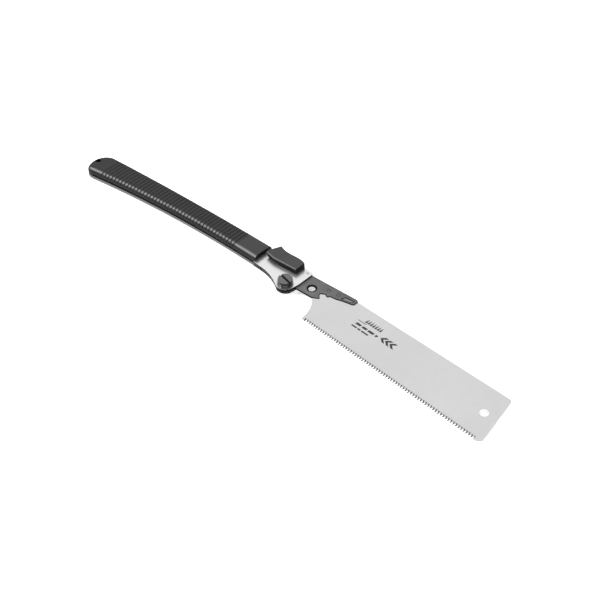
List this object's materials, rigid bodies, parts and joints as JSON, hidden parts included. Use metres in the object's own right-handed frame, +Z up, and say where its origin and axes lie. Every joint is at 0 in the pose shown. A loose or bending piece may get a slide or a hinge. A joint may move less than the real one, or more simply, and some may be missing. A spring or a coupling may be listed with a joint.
{
  "type": "japanese pull saw",
  "caption": "Folding pull saw: thin single-edge blade in a riveted holder, turning on a slotted pivot screw between bright side plates, thumb-lever lock, ribbed two-shell grip.",
  "frame": {"origin": "centre of the open saw's box, on the flat underside of the grip", "axes": "+X along the saw to the blade's tip, +Y to the saw's back, away from the teeth, +Z up out of the side that carries the slotted pivot screw"},
  "size_m": [0.6518, 0.072, 0.0211],
  "materials": {
    "blade_steel": "satin ground steel",
    "holder_coating": "matt dark coating over steel",
    "plate_steel": "bright brushed stainless steel",
    "pivot_steel": "black-oxide steel",
    "washer_steel": "plain steel",
    "lever_plastic": "moulded, fine texture",
    "grip_rubber": "soft-touch elastomer, ribbed",
    "pin_steel": "ground steel",
    "bushing_brass": "turned brass"
  },
  "bodies": {
    "handle": {"liner_upper": "plate_steel", "liner_lower": "plate_steel", "back_spacer": "pin_steel", "liner_rivets": "pin_steel", "grip_upper": "grip_rubber", "grip_lower": "grip_rubber", "grip_screws": "pin_steel", "grip_inserts": "bushing_brass", "pivot_screw": "pivot_steel", "upper_washer": "washer_steel", "spring_washer": "washer_steel", "pivot_bushing": "bushing_brass", "thrust_washer_upper": "washer_steel", "thrust_washer_lower": "washer_steel", "lower_washer": "washer_steel", "pivot_nut": "pivot_steel", "stop_pin": "pin_steel", "lever_pin": "pin_steel", "spring_posts": "pin_steel", "lever_spring": "pin_steel"},
    "blade": {"saw_blade": "blade_steel", "blade_holder": "holder_coating", "blade_rivets": "pin_steel"},
    "lever": {"lock_lever": "lever_plastic", "lock_pawl": "pin_steel", "pawl_pins": "pin_steel"}
  },
  "joints": [
    {"name": "blade_fold", "type": "hinge", "parent": "handle", "child": "blade", "pos_m": [0.00873, -0.00595, 0.01005], "axis": [0, 0, 1], "range_deg": [-175, 0]},
    {"name": "lever_press", "type": "hinge", "parent": "handle", "child": "lever", "pos_m": [-0.01757, 0.01745, 0.01005], "axis": [0, 0, 1], "range_deg": [-5, 2], "stiffness_Nm_per_rad": 0.5, "deforming": ["lever_spring"]}
  ]
}
